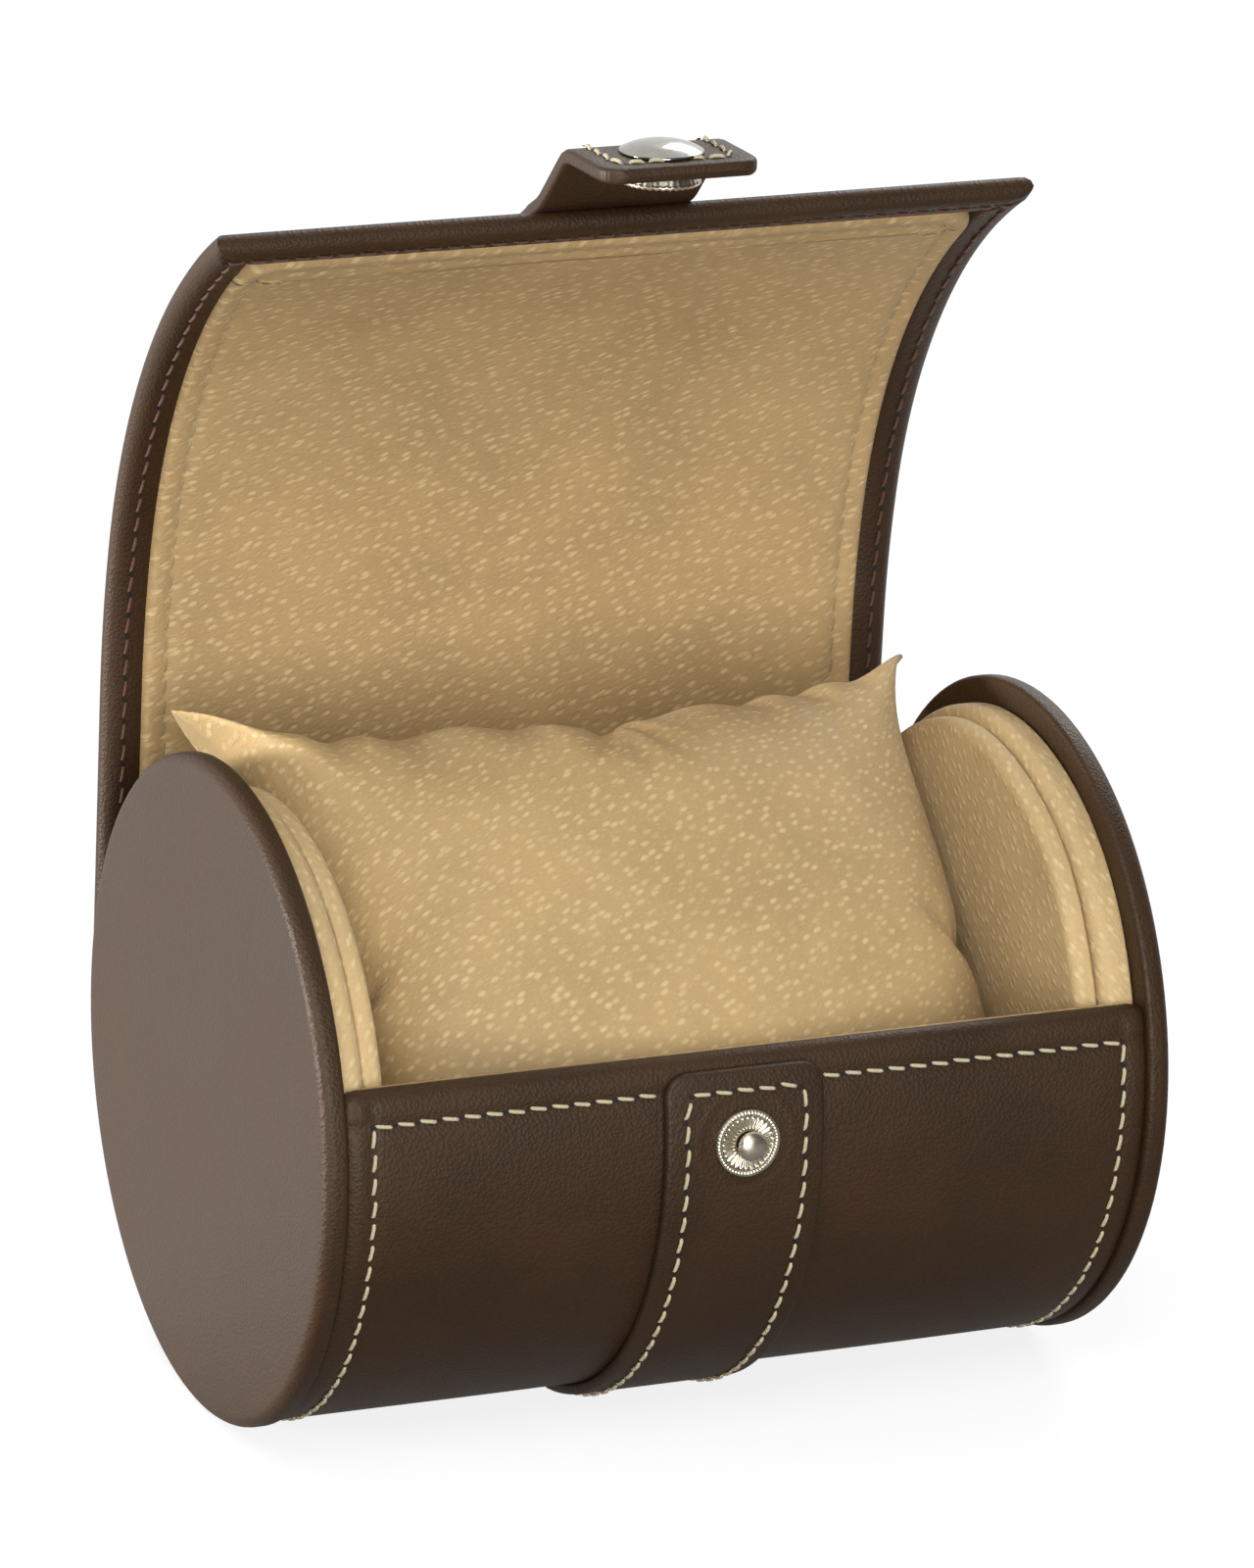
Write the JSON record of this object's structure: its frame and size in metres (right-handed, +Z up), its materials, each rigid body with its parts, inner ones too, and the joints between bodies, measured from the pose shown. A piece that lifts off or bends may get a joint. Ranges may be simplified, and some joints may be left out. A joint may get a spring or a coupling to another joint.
{
  "type": "watch travel case",
  "caption": "Round brown leather travel case for one wristwatch, open, with a curled lid, a snap tab and a cream pillow.",
  "frame": {"origin": "on the surface the case stands on, below the middle of its axis", "axes": "+X to the right along the case's axis, +Y to the back where the lid is held, +Z up"},
  "size_m": [0.1184, 0.0987, 0.1684],
  "materials": {
    "outer_leather": "satin",
    "belt_leather": "satin",
    "lining": "matte",
    "board": "matte",
    "wadding": "matte",
    "nickel": "polished",
    "rivet_metal": "satin"
  },
  "bodies": {
    "trough": {"trough_cover": "outer_leather", "trough_board": "board", "trough_lining": "lining", "belt_trough": "belt_leather", "lid_root": "outer_leather", "belt_root": "belt_leather", "left_end_cover": "outer_leather", "left_end_board": "board", "left_outer_pad_cover": "lining", "left_outer_pad_core": "wadding", "left_inner_pad_cover": "lining", "left_inner_pad_core": "wadding", "right_end_cover": "outer_leather", "right_end_board": "board", "right_outer_pad_cover": "lining", "right_outer_pad_core": "wadding", "right_inner_pad_cover": "lining", "right_inner_pad_core": "wadding", "snap_stud": "nickel", "stud_ring": "nickel", "stud_rivet": "rivet_metal"},
    "lid_strip_1": {"lid_cover_1": "outer_leather", "lid_board_1": "board", "lid_lining_1": "lining", "lid_belt_1": "belt_leather"},
    "lid_strip_2": {"lid_cover_2": "outer_leather", "lid_board_2": "board", "lid_lining_2": "lining", "lid_belt_2": "belt_leather"},
    "lid_strip_3": {"lid_cover_3": "outer_leather", "lid_board_3": "board", "lid_lining_3": "lining", "lid_belt_3": "belt_leather"},
    "lid_strip_4": {"lid_cover_4": "outer_leather", "lid_board_4": "board", "lid_lining_4": "lining", "lid_belt_4": "belt_leather"},
    "lid_strip_5": {"lid_cover_5": "outer_leather", "lid_board_5": "board", "lid_lining_5": "lining", "lid_belt_5": "belt_leather"},
    "lid_strip_6": {"lid_cover_6": "outer_leather", "lid_board_6": "board", "lid_lining_6": "lining", "lid_belt_6": "belt_leather"},
    "tab_strap": {"tab_stand": "belt_leather"},
    "tab_tip": {"tab_end": "belt_leather", "snap_cap": "nickel", "snap_socket": "nickel", "socket_spring": "rivet_metal"},
    "pillow": {"pillow_cover": "lining", "pillow_filling": "wadding"}
  },
  "joints": [
    {"name": "lid_bend_1", "type": "hinge", "parent": "trough", "child": "lid_strip_1", "pos_m": [0, 0.04547, 0.03992], "axis": [1, 0, 0], "range_deg": [-3.42, 9.01]},
    {"name": "lid_bend_2", "type": "hinge", "parent": "lid_strip_1", "child": "lid_strip_2", "pos_m": [0, 0.04547, 0.06109], "axis": [1, 0, 0], "range_deg": [-9, 26.81], "deforming": ["pillow_cover"]},
    {"name": "lid_bend_3", "type": "hinge", "parent": "lid_strip_2", "child": "lid_strip_3", "pos_m": [0, 0.04547, 0.08225], "axis": [1, 0, 0], "range_deg": [-7.83, 22.14]},
    {"name": "lid_bend_4", "type": "hinge", "parent": "lid_strip_3", "child": "lid_strip_4", "pos_m": [0, 0.04354, 0.1033], "axis": [1, 0, 0], "range_deg": [-5.05, 13.85]},
    {"name": "lid_bend_5", "type": "hinge", "parent": "lid_strip_4", "child": "lid_strip_5", "pos_m": [0, 0.03676, 0.12328], "axis": [1, 0, 0], "range_deg": [-4.03, 10.82]},
    {"name": "lid_bend_6", "type": "hinge", "parent": "lid_strip_5", "child": "lid_strip_6", "pos_m": [0, 0.02458, 0.1405], "axis": [1, 0, 0], "range_deg": [-4.03, 10.82]},
    {"name": "tab_bend", "type": "hinge", "parent": "lid_strip_6", "child": "tab_strap", "pos_m": [0, 0.01017, 0.15729], "axis": [1, 0, 0], "range_deg": [-15, 30.54]},
    {"name": "tab_fold", "type": "hinge", "parent": "tab_strap", "child": "tab_tip", "pos_m": [0, 0.00249, 0.16582], "axis": [1, 0, 0], "range_deg": [-33.18, 16.6]},
    {"name": "pillow_take_out", "type": "hinge", "parent": "trough", "child": "pillow", "pos_m": [0, -0.046, 0.0579], "axis": [1, 0, 0], "range_deg": [0, 150]}
  ],
  "couplings": [
    {"joint": "lid_bend_1", "follows": "lid_bend_2", "ratio": 0.31353},
    {"joint": "lid_bend_3", "follows": "lid_bend_2", "ratio": 0.8035},
    {"joint": "lid_bend_4", "follows": "lid_bend_2", "ratio": 0.49406},
    {"joint": "lid_bend_5", "follows": "lid_bend_2", "ratio": 0.38114},
    {"joint": "lid_bend_6", "follows": "lid_bend_2", "ratio": 0.38114},
    {"joint": "tab_fold", "follows": "tab_bend", "ratio": -1.067}
  ]
}
